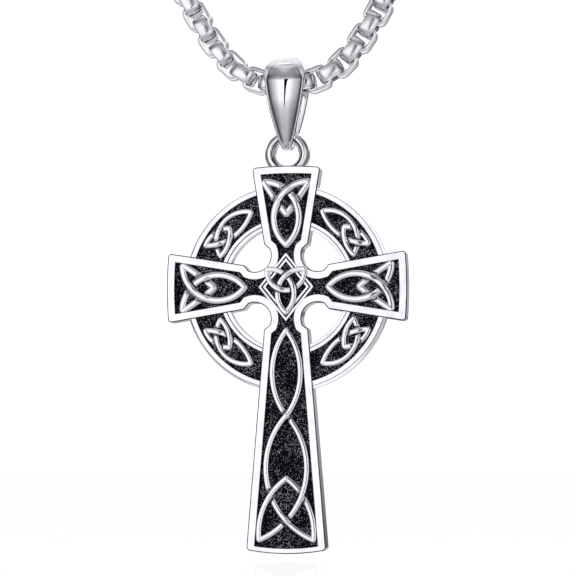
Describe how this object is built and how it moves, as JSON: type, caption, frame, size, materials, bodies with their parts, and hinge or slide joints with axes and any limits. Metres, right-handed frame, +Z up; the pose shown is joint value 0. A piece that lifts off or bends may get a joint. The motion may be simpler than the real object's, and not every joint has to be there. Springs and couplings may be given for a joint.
{
  "type": "celtic cross pendant on a rounded box chain",
  "caption": "Celtic cross pendant with raised knotwork and a ring behind its arms, hung by a tapered bail on a closed rounded box chain.",
  "frame": {"origin": "under the clasp at the top of the closed chain, where the nape holds it", "axes": "+Z up, +X to the wearer's left as a viewer in front sees the right, and the cross faces -Y"},
  "size_m": [0.1254, 0.0068, 0.235],
  "materials": {
    "cast_silver": "cast silver, raised parts polished, ground oxidised dark",
    "polished_silver": "polished silver",
    "chain_silver": "polished silver"
  },
  "bodies": {
    "necklace": {"chain": "chain_silver", "clasp": "chain_silver", "end_ring_left": "chain_silver", "end_ring_right": "chain_silver"},
    "bail": {"bail": "polished_silver"},
    "cross": {"cross": "cast_silver"}
  },
  "joints": [
    {"name": "bail_swing", "type": "hinge", "parent": "necklace", "child": "bail", "pos_m": [0, 0, -0.1733], "axis": [1, 0, 0], "range_deg": [-45, 45]},
    {"name": "cross_swing", "type": "hinge", "parent": "bail", "child": "cross", "pos_m": [0, 0, -0.17966], "axis": [1, 0, 0], "range_deg": [-60, 60]}
  ]
}
